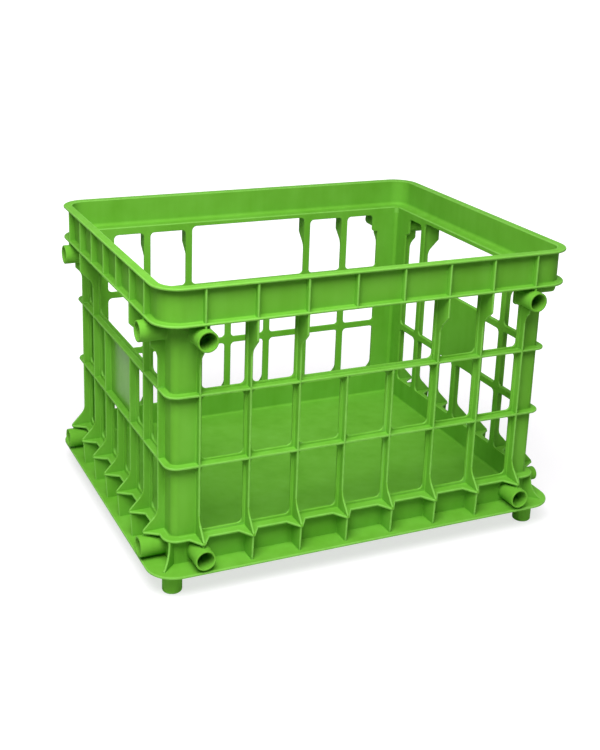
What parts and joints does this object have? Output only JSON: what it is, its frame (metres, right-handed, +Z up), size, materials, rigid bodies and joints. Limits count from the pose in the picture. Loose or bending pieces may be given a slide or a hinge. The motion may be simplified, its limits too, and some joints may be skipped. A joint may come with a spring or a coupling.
{
  "type": "storage crate",
  "caption": "Open-topped stacking file crate with lattice walls, a flanged rim with an inner shelf for hanging folders, hand holes, and sockets and pegs that join crates side by side.",
  "frame": {"origin": "on the ground, under the middle of the crate: the feet stand on Z = 0", "axes": "+X to the right along the long front wall, +Y from the front wall to the back one, +Z up"},
  "size_m": [0.4334, 0.3466, 0.294],
  "materials": {
    "green_plastic": "satin moulded polypropylene, leaf green"
  },
  "bodies": {
    "root": {"floor_pan": "green_plastic", "front_base_rail": "green_plastic", "front_lattice": "green_plastic", "front_upper_panel_left": "green_plastic", "front_upper_panel_right": "green_plastic", "front_rim": "green_plastic", "front_right_base_corner": "green_plastic", "front_right_post": "green_plastic", "front_right_rim_corner": "green_plastic", "front_upper_socket_left": "green_plastic", "front_lower_socket_left": "green_plastic", "front_upper_socket_right": "green_plastic", "front_lower_socket_right": "green_plastic", "front_right_foot": "green_plastic", "right_base_rail": "green_plastic", "right_lattice": "green_plastic", "right_upper_panel_front": "green_plastic", "right_upper_panel_back": "green_plastic", "right_rim": "green_plastic", "right_label_panel": "green_plastic", "back_right_base_corner": "green_plastic", "back_right_post": "green_plastic", "back_right_rim_corner": "green_plastic", "right_upper_peg_front": "green_plastic", "right_lower_peg_front": "green_plastic", "right_upper_peg_back": "green_plastic", "right_lower_peg_back": "green_plastic", "back_right_foot": "green_plastic", "back_base_rail": "green_plastic", "back_lattice": "green_plastic", "back_upper_panel_right": "green_plastic", "back_upper_panel_left": "green_plastic", "back_rim": "green_plastic", "back_left_base_corner": "green_plastic", "back_left_post": "green_plastic", "back_left_rim_corner": "green_plastic", "back_upper_peg_right": "green_plastic", "back_lower_peg_right": "green_plastic", "back_upper_peg_left": "green_plastic", "back_lower_peg_left": "green_plastic", "back_left_foot": "green_plastic", "left_base_rail": "green_plastic", "left_lattice": "green_plastic", "left_upper_panel_back": "green_plastic", "left_upper_panel_front": "green_plastic", "left_rim": "green_plastic", "left_label_panel": "green_plastic", "front_left_base_corner": "green_plastic", "front_left_post": "green_plastic", "front_left_rim_corner": "green_plastic", "left_upper_socket_back": "green_plastic", "left_lower_socket_back": "green_plastic", "left_upper_socket_front": "green_plastic", "left_lower_socket_front": "green_plastic", "front_left_foot": "green_plastic"}
  },
  "joints": []
}
